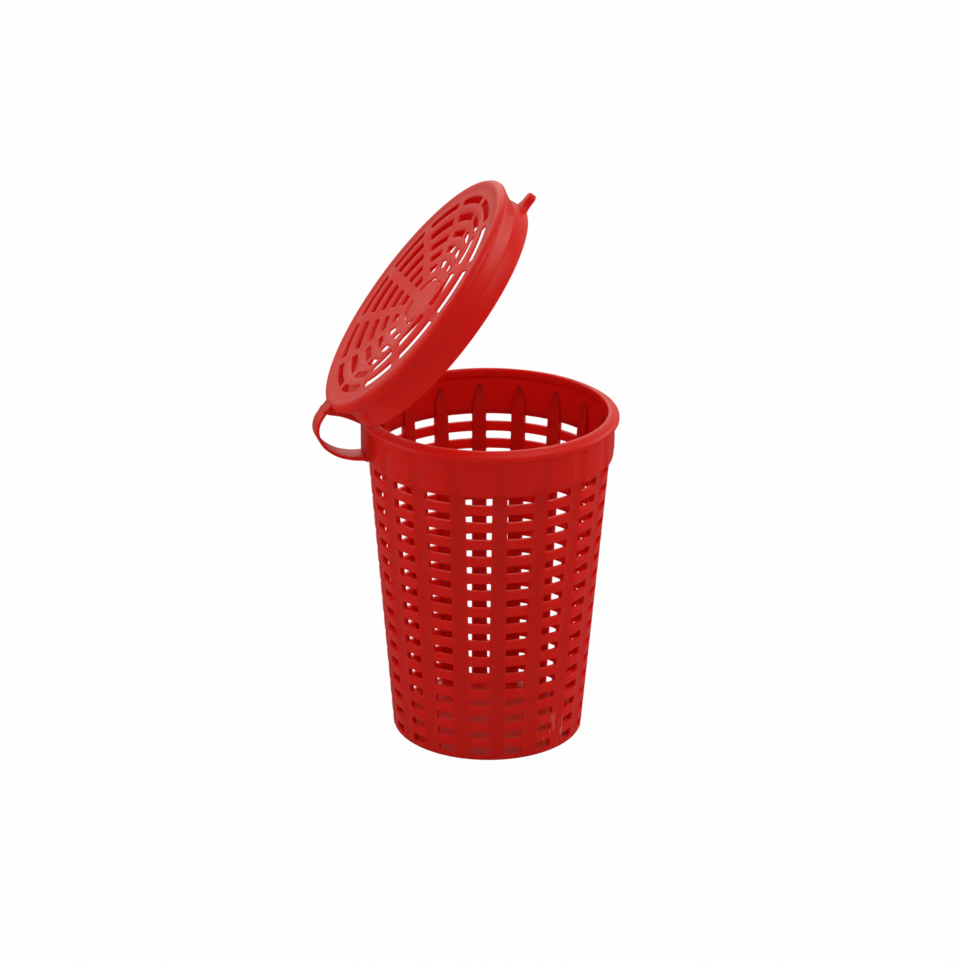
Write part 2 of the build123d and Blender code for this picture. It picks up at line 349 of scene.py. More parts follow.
# %% Sizes of the wall
BASE_RADIUS = 33.0
WALL_TOP_RADIUS = 41.13
WALL_HEIGHT = 100.5
WALL = 1.3
FLOOR_THICKNESS = 1.8
UPRIGHTS = 18
UPRIGHT_WIDTH = 5.8
UPRIGHT_TAPER = 0.8
UPRIGHT_FLAT_HALF = 2.05
FLUTE_DEPTH = 0.3
SLOT_ROWS = 16
SLOT_HEIGHT = 2.9
SLOT_LOW = FLOOR_THICKNESS + 0.25
SLOT_TOP = WALL_HEIGHT - 0.75
SLOT_PITCH = (SLOT_TOP - SLOT_LOW - SLOT_HEIGHT) / (SLOT_ROWS - 1)
SLOT_CORNER = 0.45


def wall_outside(height):
    """Outside radius of the basket wall."""
    return BASE_RADIUS + (WALL_TOP_RADIUS - BASE_RADIUS) * height / WALL_HEIGHT


def upright_half(height):
    """Half the width of an upright, which narrows a little towards the collar."""
    return (UPRIGHT_WIDTH - UPRIGHT_TAPER * height / WALL_HEIGHT) / 2


def corner_shift(depth, rounding):
    """How far a slot's end is pulled in, at a depth from its long edge, for a round corner."""
    if depth >= rounding:
        return 0.0
    return rounding - math.sqrt(rounding ** 2 - (rounding - max(depth, 0)) ** 2)


def slot_depth(height):
    """Depth inside the nearest slot row, measured from the row's nearer edge, or None."""
    row = round((height - SLOT_LOW - SLOT_HEIGHT / 2) / SLOT_PITCH)
    row = min(max(row, 0), SLOT_ROWS - 1)
    middle = SLOT_LOW + SLOT_HEIGHT / 2 + row * SLOT_PITCH
    depth = SLOT_HEIGHT / 2 - abs(height - middle)
    return depth if depth > -TINY else None


print("slot pitch", round(SLOT_PITCH, 3))

# %% [markdown]
# The spun grid has 12 columns for each of the 18 sectors. Column 0 runs up the middle of an
# upright and column 6 up the middle of the slots. Columns 0 and 1 lie on the upright's
# shallow flat, column 2 is the slot's end, and the rest share out the slot.

# %% Columns of the wall
WALL_COLUMNS = 12
END_COLUMN = 2
SECTOR = math.tau / UPRIGHTS
# Where columns 3 to 6 stand between the slot's end and its middle.
SLOT_SHARES = (0.16, 0.4, 0.7, 1.0)
# A margin for comparing two radii or two heights.
SLACK = 0.01


def axis_distance(point):
    """Distance of a point from the Z axis."""
    return math.hypot(point.x, point.y)


def sector_place(vert, sectors, columns):
    """Sector number, column folded to one half of the sector, and the side it is on."""
    turn = math.atan2(vert.co.y, vert.co.x) % math.tau
    column = round(turn / math.tau * sectors * columns)
    sector, column = divmod(column, columns)
    if column > columns // 2:
        return sector + 1, columns - column, -1
    return sector, column, 1


def set_polar(vert, angle, radius):
    """Moves a vertex to an angle and a radius, at its own height."""
    vert.co.x = radius * math.cos(angle)
    vert.co.y = radius * math.sin(angle)


def shape_wall_columns(bm):
    """Shifts the grid's columns to the uprights and their flats."""
    for vert in bm.verts:
        radius = axis_distance(vert.co)
        sector, column, side = sector_place(vert, UPRIGHTS, WALL_COLUMNS)
        outside = wall_outside(vert.co.z)
        depth = slot_depth(vert.co.z)
        bend = corner_shift(depth, SLOT_CORNER) / outside if depth is not None else 0.0
        start = upright_half(vert.co.z) / outside + bend
        steps = [0.0, UPRIGHT_FLAT_HALF / outside, start]
        steps += [start + (SECTOR / 2 - start) * share for share in SLOT_SHARES]
        angle = steps[column]
        if column < END_COLUMN and radius > outside - SLACK:
            radius = (radius - FLUTE_DEPTH) / math.cos(angle)
        set_polar(vert, sector * SECTOR + side * angle, radius)


print("wall columns", UPRIGHTS * WALL_COLUMNS)

# %% [markdown]
# With the grid planned, the wall is six moves: draw the section, spin it, note the faces
# inside the slots, shift the columns, delete those faces, and extrude the outer slot edges
# inwards until they meet the inner ones. The slots' edges are rounded last.

# %% Wall with slots
FOOT_CORNER = [(BASE_RADIUS - 0.6, 0.0), (BASE_RADIUS - 0.17, 0.18)]
FOOT_TOP = 0.65
# How far rows stand inside a slot's long edge, to follow its round corners.
SLOT_INSETS = (0.0, 0.08, 0.25, SLOT_CORNER)
# Points nearer than this are joined where a slot's wall meets the other skin.
WELD = 0.004
# The wall's sharp edges between these heights are the slots' edges.
SLOT_EDGE_HEIGHTS = (0.5, WALL_HEIGHT - 0.1)
SLOT_EDGE_ROUND = 0.2


def wall_section():
    """The wall's closed section, with a row at each slot edge and at its corners' bends."""
    rows = []
    for row in range(SLOT_ROWS):
        low = SLOT_LOW + row * SLOT_PITCH
        rows += [low + inset for inset in SLOT_INSETS]
        rows += [low + SLOT_HEIGHT - inset for inset in reversed(SLOT_INSETS)]
    outer = [(wall_outside(height), height) for height in [FOOT_TOP] + rows]
    outer.append((WALL_TOP_RADIUS, WALL_HEIGHT))
    inner_heights = [WALL_HEIGHT] + rows[::-1] + [0.0]
    return FOOT_CORNER + outer + [(wall_outside(z) - WALL, z) for z in inner_heights]


def wall_slot_faces(bm):
    """Faces of both skins that lie inside a slot."""
    found = []
    for face in bm.faces:
        columns = [sector_place(vert, UPRIGHTS, WALL_COLUMNS)[1] for vert in face.verts]
        depth = slot_depth(face.calc_center_median().z)
        if min(columns) >= END_COLUMN and depth is not None and depth > 0:
            found.append(face)
    return found


def extrude_edges(bm, edges):
    """Extrudes edges and returns the new vertices."""
    made = bmesh.ops.extrude_edge_only(bm, edges=edges)["geom"]
    return [part for part in made if isinstance(part, bmesh.types.BMVert)]


def close_slots(bm):
    """Welds the slots' new walls to the other skin."""
    bmesh.ops.remove_doubles(bm, verts=bm.verts[:], dist=WELD)
    bmesh.ops.recalc_face_normals(bm, faces=bm.faces[:])


def make_wall():
    """The slotted wall: outer and inner skins, open slots, and walls through the slots."""
    bm = bmesh.new()
    draw_line(bm, wall_section(), closed=True)
    spin_round(bm, UPRIGHTS * WALL_COLUMNS)
    gone = wall_slot_faces(bm)
    shape_wall_columns(bm)
    bmesh.ops.delete(bm, geom=gone, context="FACES")

    outer_edges = [
        edge for edge in bm.edges if edge.is_boundary and all(
            axis_distance(v.co) > wall_outside(v.co.z) - WALL / 2 for v in edge.verts)
    ]
    for vert in extrude_edges(bm, outer_edges):
        set_polar(vert, math.atan2(vert.co.y, vert.co.x), axis_distance(vert.co) - WALL)
    close_slots(bm)

    lowest, highest = SLOT_EDGE_HEIGHTS
    slot_edges = [
        edge for edge in sharp_edges(bm) if all(lowest < v.co.z < highest for v in edge.verts)
    ]
    soften(bm, slot_edges, SLOT_EDGE_ROUND)
    finish_piece("basket_shell", bm, "basket", ["basket_wall"])


make_wall()

# %% [markdown]
# Behind each upright stands a rib that stiffens the wall. It is a bar with a round nose that
# fades into the collar in a point. One section face is extruded up the wall in stages, with
# its size changed at each stage, and the finished rib is copied round by a spin.

# %% Ribs
RIB_HALF = 2.4
RIB_PROUD = 1.1
RIB_SINK = 0.25
RIB_NOSE_ROUND = 0.8
# Height, and the shares of the full proudness and width there.
RIB_STAGES = (
    (1.8, 1.0, 1.0), (40.0, 1.0, 1.0), (80.0, 1.0, 1.0), (102.2, 1.0, 1.0),
    (104.6, 0.76, 0.92), (106.8, 0.46, 0.74), (108.8, 0.2, 0.50), (110.4, 0.02, 0.20),
)


def loft(bm, face, places):
    """Extrudes a face through a row of places, and leaves no face inside the solid."""
    bmesh.ops.transform(bm, verts=face.verts[:], matrix=places[0])
    first = face
    for before, after in zip(places, places[1:]):
        made = bmesh.ops.extrude_face_region(bm, geom=[face])["geom"]
        if face is not first:
            bmesh.ops.delete(bm, geom=[face], context="FACES_ONLY")
        moved = [part for part in made if isinstance(part, bmesh.types.BMVert)]
        face = [part for part in made if isinstance(part, bmesh.types.BMFace)][0]
        bmesh.ops.transform(bm, verts=moved, matrix=after @ before.inverted())


def make_ribs():
    """Eighteen round-nosed ribs inside the wall."""
    bm = bmesh.new()
    outline = (
        (RIB_SINK, -RIB_HALF), (RIB_SINK, RIB_HALF),
        (-RIB_PROUD, RIB_HALF), (-RIB_PROUD, -RIB_HALF),
    )
    corners = [bm.verts.new((x, y, 0)) for x, y in outline]
    bm.faces.new(corners)
    round_corners(bm, corners[2:], RIB_NOSE_ROUND, segments=4)
    places = [
        Matrix.Translation((wall_outside(height) - WALL, 0, height))
        @ Matrix.Diagonal((proud, width, 1, 1))
        for height, proud, width in RIB_STAGES
    ]
    loft(bm, bm.faces[:][0], places)
    bmesh.ops.spin(
        bm, geom=bm.verts[:] + bm.edges[:] + bm.faces[:], cent=(0, 0, 0), axis=(0, 0, 1),
        dvec=(0, 0, 0), angle=math.tau * (UPRIGHTS - 1) / UPRIGHTS, steps=UPRIGHTS - 1,
        use_merge=False, use_duplicate=True,
    )
    finish_piece("ribs", bm, "basket", ["inner_ribs"])


make_ribs()

# %% [markdown]
# Above the slots the wall is plain: a collar that stands a step proud, and a rim on it whose
# top rises towards the mouth. One profile holds both, so that no seam can show between them.
# The uprights' shallow flats run on up the collar, where they show only as soft bands of shade.

# %% Collar and rim
COLLAR_RADIUS = 42.5
COLLAR_TOP = 113.2
COLLAR_FLUTE = 0.45
# How far from the middle of a band columns 0 to 5 of the grid stand, along the surface.
COLLAR_COLUMNS = (0.0, 1.9, 2.9, 3.6, 4.6, 5.9)
# The bands are pressed in on the outer face only: below this height, outside this radius.
BAND_TOP = COLLAR_TOP - 0.1
BAND_INSIDE = COLLAR_RADIUS - 0.6
RIM_RADIUS = 43.99
RIM_SIDE_TOP = COLLAR_TOP + 1.7
RIM_TOP = 116.3
CREST_RADIUS = 41.6
MOUTH_RADIUS = 40.1


def press_bands(bm):
    """Shifts the collar's columns, and presses the bands over the uprights in."""
    for vert in bm.verts:
        radius = axis_distance(vert.co)
        sector, column, side = sector_place(vert, UPRIGHTS, WALL_COLUMNS)
        if vert.co.z > BAND_TOP or radius < BAND_INSIDE:
            continue
        inner = column < len(COLLAR_COLUMNS)
        angle = COLLAR_COLUMNS[column] / COLLAR_RADIUS if inner else SECTOR / 2
        if column < END_COLUMN:
            radius = (radius - COLLAR_FLUTE) / math.cos(angle)
        set_polar(vert, sector * SECTOR + side * angle, radius)


def make_rim():
    """The collar band and the rolled rim, in one spun profile."""
    bm = bmesh.new()
    draw_profile(bm, (
        (wall_outside(WALL_HEIGHT) - WALL, WALL_HEIGHT, 0.0),
        (COLLAR_RADIUS - 0.5, WALL_HEIGHT, 0.3),
        (COLLAR_RADIUS, WALL_HEIGHT + 2.0, 1.2),
        (COLLAR_RADIUS, COLLAR_TOP, 0.7),
        (RIM_RADIUS, COLLAR_TOP, 0.6),
        (RIM_RADIUS, RIM_SIDE_TOP, 1.0),
        (CREST_RADIUS, RIM_TOP, 1.2),
        (MOUTH_RADIUS, RIM_TOP, 0.9),
        (MOUTH_RADIUS, COLLAR_TOP, 0.8),
        (wall_outside(COLLAR_TOP) - WALL, COLLAR_TOP - 0.3, 0.3),
    ))
    spin_round(bm, UPRIGHTS * WALL_COLUMNS)
    press_bands(bm)
    finish_piece("rim_and_collar", bm, "basket", ["collar_band", "rim_bead"])


make_rim()

# %% [markdown]
# The floor is a plain disc inside the foot of the wall. It is seen through the slots and from
# below. It is a spun line whose first and last points lie on the axis.

# %% Floor of the basket
FLOOR_STEPS = 108


def make_floor():
    """The disc that closes the basket."""
    bm = bmesh.new()
    draw_line(bm, (
        (0, 0), (BASE_RADIUS - WALL, 0),
        (wall_outside(FLOOR_THICKNESS) - WALL, FLOOR_THICKNESS), (0, FLOOR_THICKNESS),
    ))
    spin_round(bm, FLOOR_STEPS)
    finish_piece("floor_disc", bm, "basket", ["floor"])


make_floor()

# %% [markdown]
# The lid is one dished shell with a round shoulder and a skirt that is drawn in at a waist and
# flares out again at its lip. The real plate has sprung a little out of round, up on the side
# towards the camera and slightly down elsewhere, and so does this one.

# %% Sizes of the lid
LIP_RADIUS = 44.8
SHOULDER_RADIUS = 46.8
SHOULDER_HEIGHT = 13.4
SHOULDER_ROUND = 2.2
SKIRT_WALL = 1.1
WAIST_RADIUS = 44.2
WAIST_HEIGHT = 5.5
GRILLE_RADIUS = 41.8
GRILLE_THICKNESS = 0.6
BRINK_HEIGHT = 12.85
BRINK_RADIUS = GRILLE_RADIUS * 0.873
DISH_FLOOR_RADIUS = GRILLE_RADIUS * 0.167
DISH_DEPTH = 4.1
SPRUNG_SADDLE = 1.1
SPRUNG_TILT = 1.5
# Radii between which the sprung part rises, and between which it falls off again.
SWELL_RISE = (15.0, 28.0)
SWELL_FALL = (29.0, 40.0)
# How sharply the skirt bends above its waist, and below it.
SKIRT_BEND = 1.3
LIP_BEND = 3


def ease(value, low, high):
    """A soft step from 0 at low to 1 at high."""
    share = min(max((value - low) / (high - low), 0), 1)
    return share ** 2 * (3 - 2 * share)


def grille_height(radius):
    """Height of the grille's top in the lid's own frame, before it springs."""
    return BRINK_HEIGHT - DISH_DEPTH * (1 - ease(radius, DISH_FLOOR_RADIUS, BRINK_RADIUS))


def sprung_lift(radius, angle):
    """How far the plate has sprung up, most about two thirds of the way out."""
    swell = ease(radius, *SWELL_RISE) * (1 - ease(radius, *SWELL_FALL))
    return -swell * (SPRUNG_SADDLE * math.cos(2 * angle) + SPRUNG_TILT * math.sin(angle))


def skirt_radius(height):
    """Outside radius of the skirt: full at the shoulder, drawn in at the waist, then the lip."""
    if height > WAIST_HEIGHT:
        share = (height - WAIST_HEIGHT) / (SHOULDER_HEIGHT - SHOULDER_ROUND - WAIST_HEIGHT)
        return WAIST_RADIUS + (SHOULDER_RADIUS - WAIST_RADIUS) * share ** SKIRT_BEND
    return LIP_RADIUS - (LIP_RADIUS - WAIST_RADIUS) * (height / WAIST_HEIGHT) ** LIP_BEND


print("dish depth", DISH_DEPTH, "lid height", SHOULDER_HEIGHT)

# %% [markdown]
# The lid is modelled shut and upright, in its own frame, and then moved to where the
# photograph shows it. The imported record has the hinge, so the move is a turn about it, from
# the shut end of the joint's range to rest.

# %% Where the lid stands
hinge = frame["joints"][0]
pivot = Vector(hinge["pos_m"])
opening = -math.radians(hinge["range_deg"][0])
LIP_LIFT = -1.31
lid_place = (
    Matrix.Translation(pivot) @ Matrix.Rotation(opening, 4, Vector(hinge["axis"]))
    @ Matrix.Translation(Vector((0, 0, (RIM_TOP + LIP_LIFT) * MM)) - pivot)
)
print("lid stands at", [round(value, 4) for value in lid_place.translation])

# %% [markdown]
# As for the wall, the lid's spun grid is planned for its slots: five rings of slots between
# twelve straight spokes, and a ring of four slits round the hub. Each ring gives the grid its
# rows. The two skins have matching rows, so that the slots go straight through.

# %% Rows of the lid
SPOKES = 12
RING_HALF = 1.35
RING_CORNER = 0.5
SLOT_RINGS = [GRILLE_RADIUS * share for share in (0.918, 0.773, 0.63, 0.486, 0.347)]
HUB_SLOTS = 4
HUB_HALF = 0.5
HUB_RING = GRILLE_RADIUS * 0.215
RING_HALVES = [(ring, RING_HALF) for ring in SLOT_RINGS] + [(HUB_RING, HUB_HALF)]
RING_INSETS = (0.0, 0.07, 0.22, RING_CORNER)
PLAIN_RADII = (0.0, 3.0, 5.4, 11.3, 40.8, GRILLE_RADIUS)
# How far the plate runs on past the grille, and how far it rises there.
TURN_OUT = 1.4
TURN_RISE = 0.12
SHOULDER_STEPS = 7
SKIRT_ROWS = (9.6, 8.2, 7.0, 6.2, 5.8, 5.5, 5.1, 4.6, 3.8, 2.6, 1.4, 0.8, 0.0)


def lid_radii():
    """Radii of the grille's rows: slot edges, their corners' bends, and the bars between."""
    radii = set(PLAIN_RADII)
    for ring, half in RING_HALVES:
        for inset in RING_INSETS:
            radii.update((ring - half + inset, ring + half - inset))
    for inner_ring, outer_ring in zip(SLOT_RINGS[1:], SLOT_RINGS):
        radii.add((inner_ring + outer_ring) / 2)
    return sorted(radii)


def lid_rows():
    """Outer and inner skin of the lid as matching rows of (radius, height)."""
    outer = [(radius, grille_height(radius)) for radius in lid_radii()]
    inner = [(radius, height - GRILLE_THICKNESS) for radius, height in outer]
    turn_height = grille_height(GRILLE_RADIUS) + TURN_RISE
    outer.append((GRILLE_RADIUS + TURN_OUT, turn_height))
    inner.append((GRILLE_RADIUS + TURN_OUT, turn_height - GRILLE_THICKNESS))
    corner = (SHOULDER_RADIUS - SHOULDER_ROUND, SHOULDER_HEIGHT - SHOULDER_ROUND)
    for step in range(SHOULDER_STEPS + 1):
        turn = math.radians(90 - 90 * step / SHOULDER_STEPS)
        for skin, bend in ((outer, SHOULDER_ROUND), (inner, SHOULDER_ROUND - SKIRT_WALL)):
            skin.append((corner[0] + bend * math.cos(turn), corner[1] + bend * math.sin(turn)))
    for height in SKIRT_ROWS:
        outer.append((skirt_radius(height), height))
        inner.append((skirt_radius(height) - SKIRT_WALL, height))
    return outer, inner


print("rings of slots at", [round(radius, 1) for radius in SLOT_RINGS])

# %% [markdown]
# The spokes have parallel sides, so the angle of a slot's end changes with the radius. Out in
# the rings each of the 12 sectors has 16 columns, and column 2 is the slot's end. In the hub
# the same columns are counted in four wide sectors, and there it is column 8. Slot corners
# are round, which the columns follow too.

# %% Columns of the lid
SPOKE_HALF = 1.9
LID_COLUMNS = 16
HUB_COLUMNS = SPOKES * LID_COLUMNS // HUB_SLOTS
HUB_END_COLUMN = 8


def ring_of(radius):
    """The slot ring that a radius lies in and the depth inside it, or None."""
    for ring, half in RING_HALVES:
        depth = half - abs(radius - ring)
        if depth > -TINY:
            return ring, depth
    return None


def in_hub(radius):
    """Whether a radius lies in the hub, its ring of slits included."""
    return radius < HUB_RING + HUB_HALF + SLACK


def lid_angle(radius, column):
    """Angle of a column inside the sector, which keeps the spokes' sides parallel."""
    hub = in_hub(radius)
    half_turn = math.pi / (HUB_SLOTS if hub else SPOKES)
    end_column = HUB_END_COLUMN if hub else END_COLUMN
    last_column = (HUB_COLUMNS if hub else LID_COLUMNS) // 2
    reach = max(radius, HUB_RING - HUB_HALF)
    end = math.asin(SPOKE_HALF / reach)
    if column < end_column:
        return end * column / end_column
    inside = ring_of(radius)
    bend = corner_shift(inside[1], RING_CORNER) / reach if inside else 0.0
    start = end + bend
    share = (column - end_column) / (last_column - end_column)
    return start + (half_turn - start) * share


def lid_sector(vert, hub):
    """Angle of the nearest spoke, the column folded to half a sector, and the side it is on."""
    columns, sectors = (HUB_COLUMNS, HUB_SLOTS) if hub else (LID_COLUMNS, SPOKES)
    sector, column, side = sector_place(vert, sectors, columns)
    return sector * math.tau / sectors, column, side


print("lid columns", SPOKES * LID_COLUMNS)

# %% [markdown]
# The lid is made by the same six moves as the wall, with the slots' walls extruded down
# instead of inwards. It springs out of round at the very end, so that all the planning before
# can count on a round plate.

# %% Lid shell
# Faces further than this below the grille's lower skin belong to the skirt.
SKIN_GAP = 0.5
# The lid's sharp edges above this height are the grille's.
GRILLE_EDGES_FROM = 1.0
GRILLE_EDGE_ROUND = 0.16
LIP_EDGE_ROUND = 0.4


def lid_slot_faces(bm):
    """Faces of both skins of the grille that lie inside a slot."""
    found = []
    for face in bm.faces:
        middle = face.calc_center_median()
        radius = axis_distance(middle)
        inside = ring_of(radius)
        if middle.z < grille_height(radius) - GRILLE_THICKNESS - SKIN_GAP or not inside:
            continue
        hub = inside[0] == HUB_RING
        columns = [lid_sector(vert, hub)[1] for vert in face.verts]
        if min(columns) >= (HUB_END_COLUMN if hub else END_COLUMN):
            found.append(face)
    return found


def shape_lid_columns(bm):
    """Shifts the grid's columns to the spokes."""
    for vert in bm.verts:
        radius = axis_distance(vert.co)
        if SLACK < radius < GRILLE_RADIUS + SLACK:
            base, column, side = lid_sector(vert, in_hub(radius))
            set_polar(vert, base + side * lid_angle(radius, column), radius)


def spring_plate(bm):
    """Bends the grille out of round."""
    for vert in bm.verts:
        radius = axis_distance(vert.co)
        if radius < GRILLE_RADIUS:
            vert.co.z += sprung_lift(radius, math.atan2(vert.co.y, vert.co.x))


def make_lid():
    """The dished grille, its shoulder and its skirt, as one shell."""
    bm = bmesh.new()
    outer, inner = lid_rows()
    draw_line(bm, outer + inner[::-1])
    spin_round(bm, SPOKES * LID_COLUMNS)
    gone = lid_slot_faces(bm)
    shape_lid_columns(bm)
    bmesh.ops.delete(bm, geom=gone, context="FACES")

    top_edges = [
        edge for edge in bm.edges if edge.is_boundary and all(
            v.co.z > grille_height(axis_distance(v.co)) - GRILLE_THICKNESS / 2
            for v in edge.verts)
    ]
    lowered = extrude_edges(bm, top_edges)
    bmesh.ops.translate(bm, verts=lowered, vec=(0, 0, -GRILLE_THICKNESS))
    close_slots(bm)

    grille_edges = [edge for edge in sharp_edges(bm) if edge.verts[0].co.z > GRILLE_EDGES_FROM]
    soften(bm, grille_edges, GRILLE_EDGE_ROUND)
    lip_edges = [edge for edge in sharp_edges(bm) if edge.verts[0].co.z < SLACK]
    soften(bm, lip_edges, LIP_EDGE_ROUND, segments=3)
    spring_plate(bm)
    finish_piece("lid_shell", bm, "lid", ["lid_grille", "lid_skirt"], lid_place)


make_lid()

# %% [markdown]
# Three small forms are prisms with rounded edges: the anchor on the collar, the pad on the
# skirt, and the thumb tab. Each is sunk a little into what carries it, so that it grows out
# of the surface as a moulded feature does. The anchor comes first. Its flanks run out on the
# collar in a hollow curve.

# %% Anchor
STRAP_HALF = 4.6
STRAP_THICKNESS = 1.05
ANCHOR_FACE = 43.7
ANCHOR_LOW = 103.1
ANCHOR_TOP = COLLAR_TOP + 0.3
# Edges that stand out further than this are the anchor's front edges.
ANCHOR_FRONT = 43.0
ANCHOR_ROUND = 0.3
ANCHOR_FLANK = (
    (ANCHOR_FACE, STRAP_HALF), (ANCHOR_FACE - 0.9, STRAP_HALF + 0.35),
    (42.0, STRAP_HALF + 2.3), (41.0, STRAP_HALF + 3.5),
)


def block(outline, low, high):
    """A bmesh prism: a flat outline at one height, extruded to another."""
    bm = bmesh.new()
    bm.faces.new([bm.verts.new((x, y, low)) for x, y in outline])
    loft(bm, bm.faces[:][0], [Matrix(), Matrix.Translation((0, 0, high - low))])
    bmesh.ops.recalc_face_normals(bm, faces=bm.faces[:])
    return bm


def turn_block(bm, angle, axis):
    """Turns a block about an axis through the origin."""
    turn = Matrix.Rotation(angle, 3, axis)
    bmesh.ops.rotate(bm, verts=bm.verts[:], cent=(0, 0, 0), matrix=turn)


def make_anchor():
    """The block on the collar that the strap grows out of."""
    outline = [(-x, -y) for x, y in ANCHOR_FLANK]
    outline += [(-x, y) for x, y in reversed(ANCHOR_FLANK)]
    bm = block(outline, ANCHOR_LOW, ANCHOR_TOP)
    front_edges = [e for e in bm.edges if all(v.co.x < -ANCHOR_FRONT for v in e.verts)]
    soften(bm, front_edges, ANCHOR_ROUND, segments=3)
    finish_piece("anchor_block", bm, "basket", ["strap_anchor"])


make_anchor()

# %% [markdown]
# The pad is seen best from the side, so its outline is drawn in side view, extruded, and then
# turned upright. Its outer side hollows out from the strap's end to the lip. Its inner side
# runs inside the skirt's wall, so that nothing comes through.

# %% Pad
PAD_FACE = SHOULDER_RADIUS + 2.0
PAD_TOP = SHOULDER_HEIGHT - 0.2
PAD_OUTER = (
    (PAD_FACE, PAD_TOP), (PAD_FACE, PAD_TOP - 1.4), (PAD_FACE - 0.7, PAD_TOP - 2.8),
    (PAD_FACE - 1.8, 8.4), (PAD_FACE - 2.7, 6.0), (PAD_FACE - 3.4, 3.4),
    (LIP_RADIUS + 0.1, 0.8),
)
PAD_INNER = (
    (LIP_RADIUS - 0.55, 0.8), (44.1, 3.4), (43.7, 5.5), (44.7, 8.4), (46.1, 11.0),
    (45.9, 12.1), (44.9, PAD_TOP),
)
PAD_ROUND = 0.35
# Edges that bend more than this are square ones.
SQUARE_DEGREES = 60


def make_pad():
    """The pad down the skirt that the strap ends on."""
    bm = block([(-x, z) for x, z in PAD_OUTER + PAD_INNER], -STRAP_HALF, STRAP_HALF)
    turn_block(bm, math.pi / 2, "X")
    square_edges = sharp_edges(bm, SQUARE_DEGREES)
    front_edges = [e for e in square_edges if all(v.co.x < -LIP_RADIUS for v in e.verts)]
    soften(bm, front_edges, PAD_ROUND, segments=3)
    finish_piece("lid_pad", bm, "lid", ["strap_pad"], lid_place)


make_pad()

# %% [markdown]
# The thumb tab is a short nib level with the lip, wider at its root and round at its end. It
# isn't quite opposite the strap in the photograph, so it is turned a few degrees.

# %% Thumb tab
TAB_END = LIP_RADIUS + 5.8
TAB_HALF = 2.1
TAB_LOW = 0.1
TAB_TOP = 2.7
TAB_END_ROUND = 2.0
TAB_EDGE_ROUND = 0.95
TAB_TURN = math.radians(-5.0)
TAB_FLANK = (
    (LIP_RADIUS - 0.6, 4.6), (LIP_RADIUS + 0.3, 3.3), (LIP_RADIUS + 1.1, 2.6),
    (LIP_RADIUS + 2.3, TAB_HALF), (TAB_END, TAB_HALF),
)


def make_tab():
    """The thumb tab opposite the strap."""
    outline = [(x, -y) for x, y in TAB_FLANK] + list(reversed(TAB_FLANK))
    bm = block(outline, TAB_LOW, TAB_TOP)
    upright = [e for e in bm.edges if abs(e.verts[0].co.z - e.verts[1].co.z) > SLACK]
    end_edges = [e for e in upright if e.verts[0].co.x > TAB_END - SLACK]
    soften(bm, end_edges, TAB_END_ROUND, segments=6)
    soften(bm, sharp_edges(bm, SQUARE_DEGREES), TAB_EDGE_ROUND, segments=4)
    turn_block(bm, TAB_TURN, "Z")
    finish_piece("thumb_nib", bm, "lid", ["thumb_tab"], lid_place)


make_tab()

# %% [markdown]
# The strap is the hinge: a flat band that leaves the anchor, loops out and up, and ends on
# the pad. Its line is drawn as a curve through the few points where the photograph shows it.
# The curve's handles are automatic, apart from the two ends, which leave the anchor and the
# pad squarely. The line starts and ends a little inside both, so that no gap can show.

# %% Line of the strap
# Distance from the axis towards the strap's side, and height.
STRAP_LOOP = ((49.0, 104.1), (54.8, 106.4), (58.7, 110.4), (59.7, 114.8))
# Length of the curve's handles at its two ends.
STRAP_HANDLE = 1.9
# How far the line starts inside the anchor, and ends inside the pad.
STRAP_SINK = 0.6
# Steps of the line from one point of the curve to the next.
STRAP_STEPS = 6


def strap_knots():
    """The strap's root, the points of its loop, and its end on the pad where the lid stands."""
    root = Vector((-ANCHOR_FACE, 0, ANCHOR_LOW + STRAP_THICKNESS / 2))
    end_local = Vector((-PAD_FACE, 0, PAD_TOP - STRAP_THICKNESS / 2)) * MM
    end = (lid_place @ end_local) / MM
    knots = [root]
    for reach, height in STRAP_LOOP:
        share = (height - root.z) / (end.z - root.z)
        knots.append(Vector((-reach, end.y * share, height)))
    return knots + [end]


def read_curve(data):
    """Points along a curve, read from the mesh that it gives."""
    holder = add_object("strap_line", data)
    bpy.context.view_layer.update()
    read = bpy.data.meshes.new_from_object(holder)
    points = [vert.co.copy() for vert in read.vertices]
    bpy.data.objects.remove(holder)
    bpy.data.meshes.remove(read)
    return points


def strap_line():
    """Points along the strap, read from a curve with automatic handles."""
    knots = strap_knots()
    data = bpy.data.curves.new("strap_line", "CURVE")
    data.dimensions = "3D"
    data.resolution_u = STRAP_STEPS
    spline = data.splines.new("BEZIER")
    spline.bezier_points.add(len(knots) - 1)
    for point, knot in zip(spline.bezier_points, knots):
        point.co = knot
        point.handle_left_type = point.handle_right_type = "AUTO"
    outwards = Vector((-1, 0, 0))
    inwards = lid_place.to_3x3() @ Vector((1, 0, 0))
    for index, way in ((0, outwards), (-1, inwards)):
        point = spline.bezier_points[index]
        point.handle_left_type = point.handle_right_type = "FREE"
        point.handle_right = knots[index] + way * STRAP_HANDLE
        point.handle_left = knots[index] - way * STRAP_HANDLE
    points = read_curve(data)
    return [knots[0] - outwards * STRAP_SINK] + points + [knots[-1] + inwards * STRAP_SINK]


strap_points = strap_line()
print("strap line", len(strap_points), "points")

# %% [markdown]
# A flat section is extruded along that line. It turns slowly from the basket's sideways
# direction to the lid's, and is thicker at both ends, where the moulding has fillets. The
# strap joins both bodies, so it is attached to neither of them.

# %% Strap
STRAP_WIDTH = 2 * STRAP_HALF - 0.1
# Height of the fillet at each end, and the length over which it fades.
ROOT_FILLET = (0.9, 0.9)
END_FILLET = (0.4, 0.7)
STRAP_ROUND = 0.3


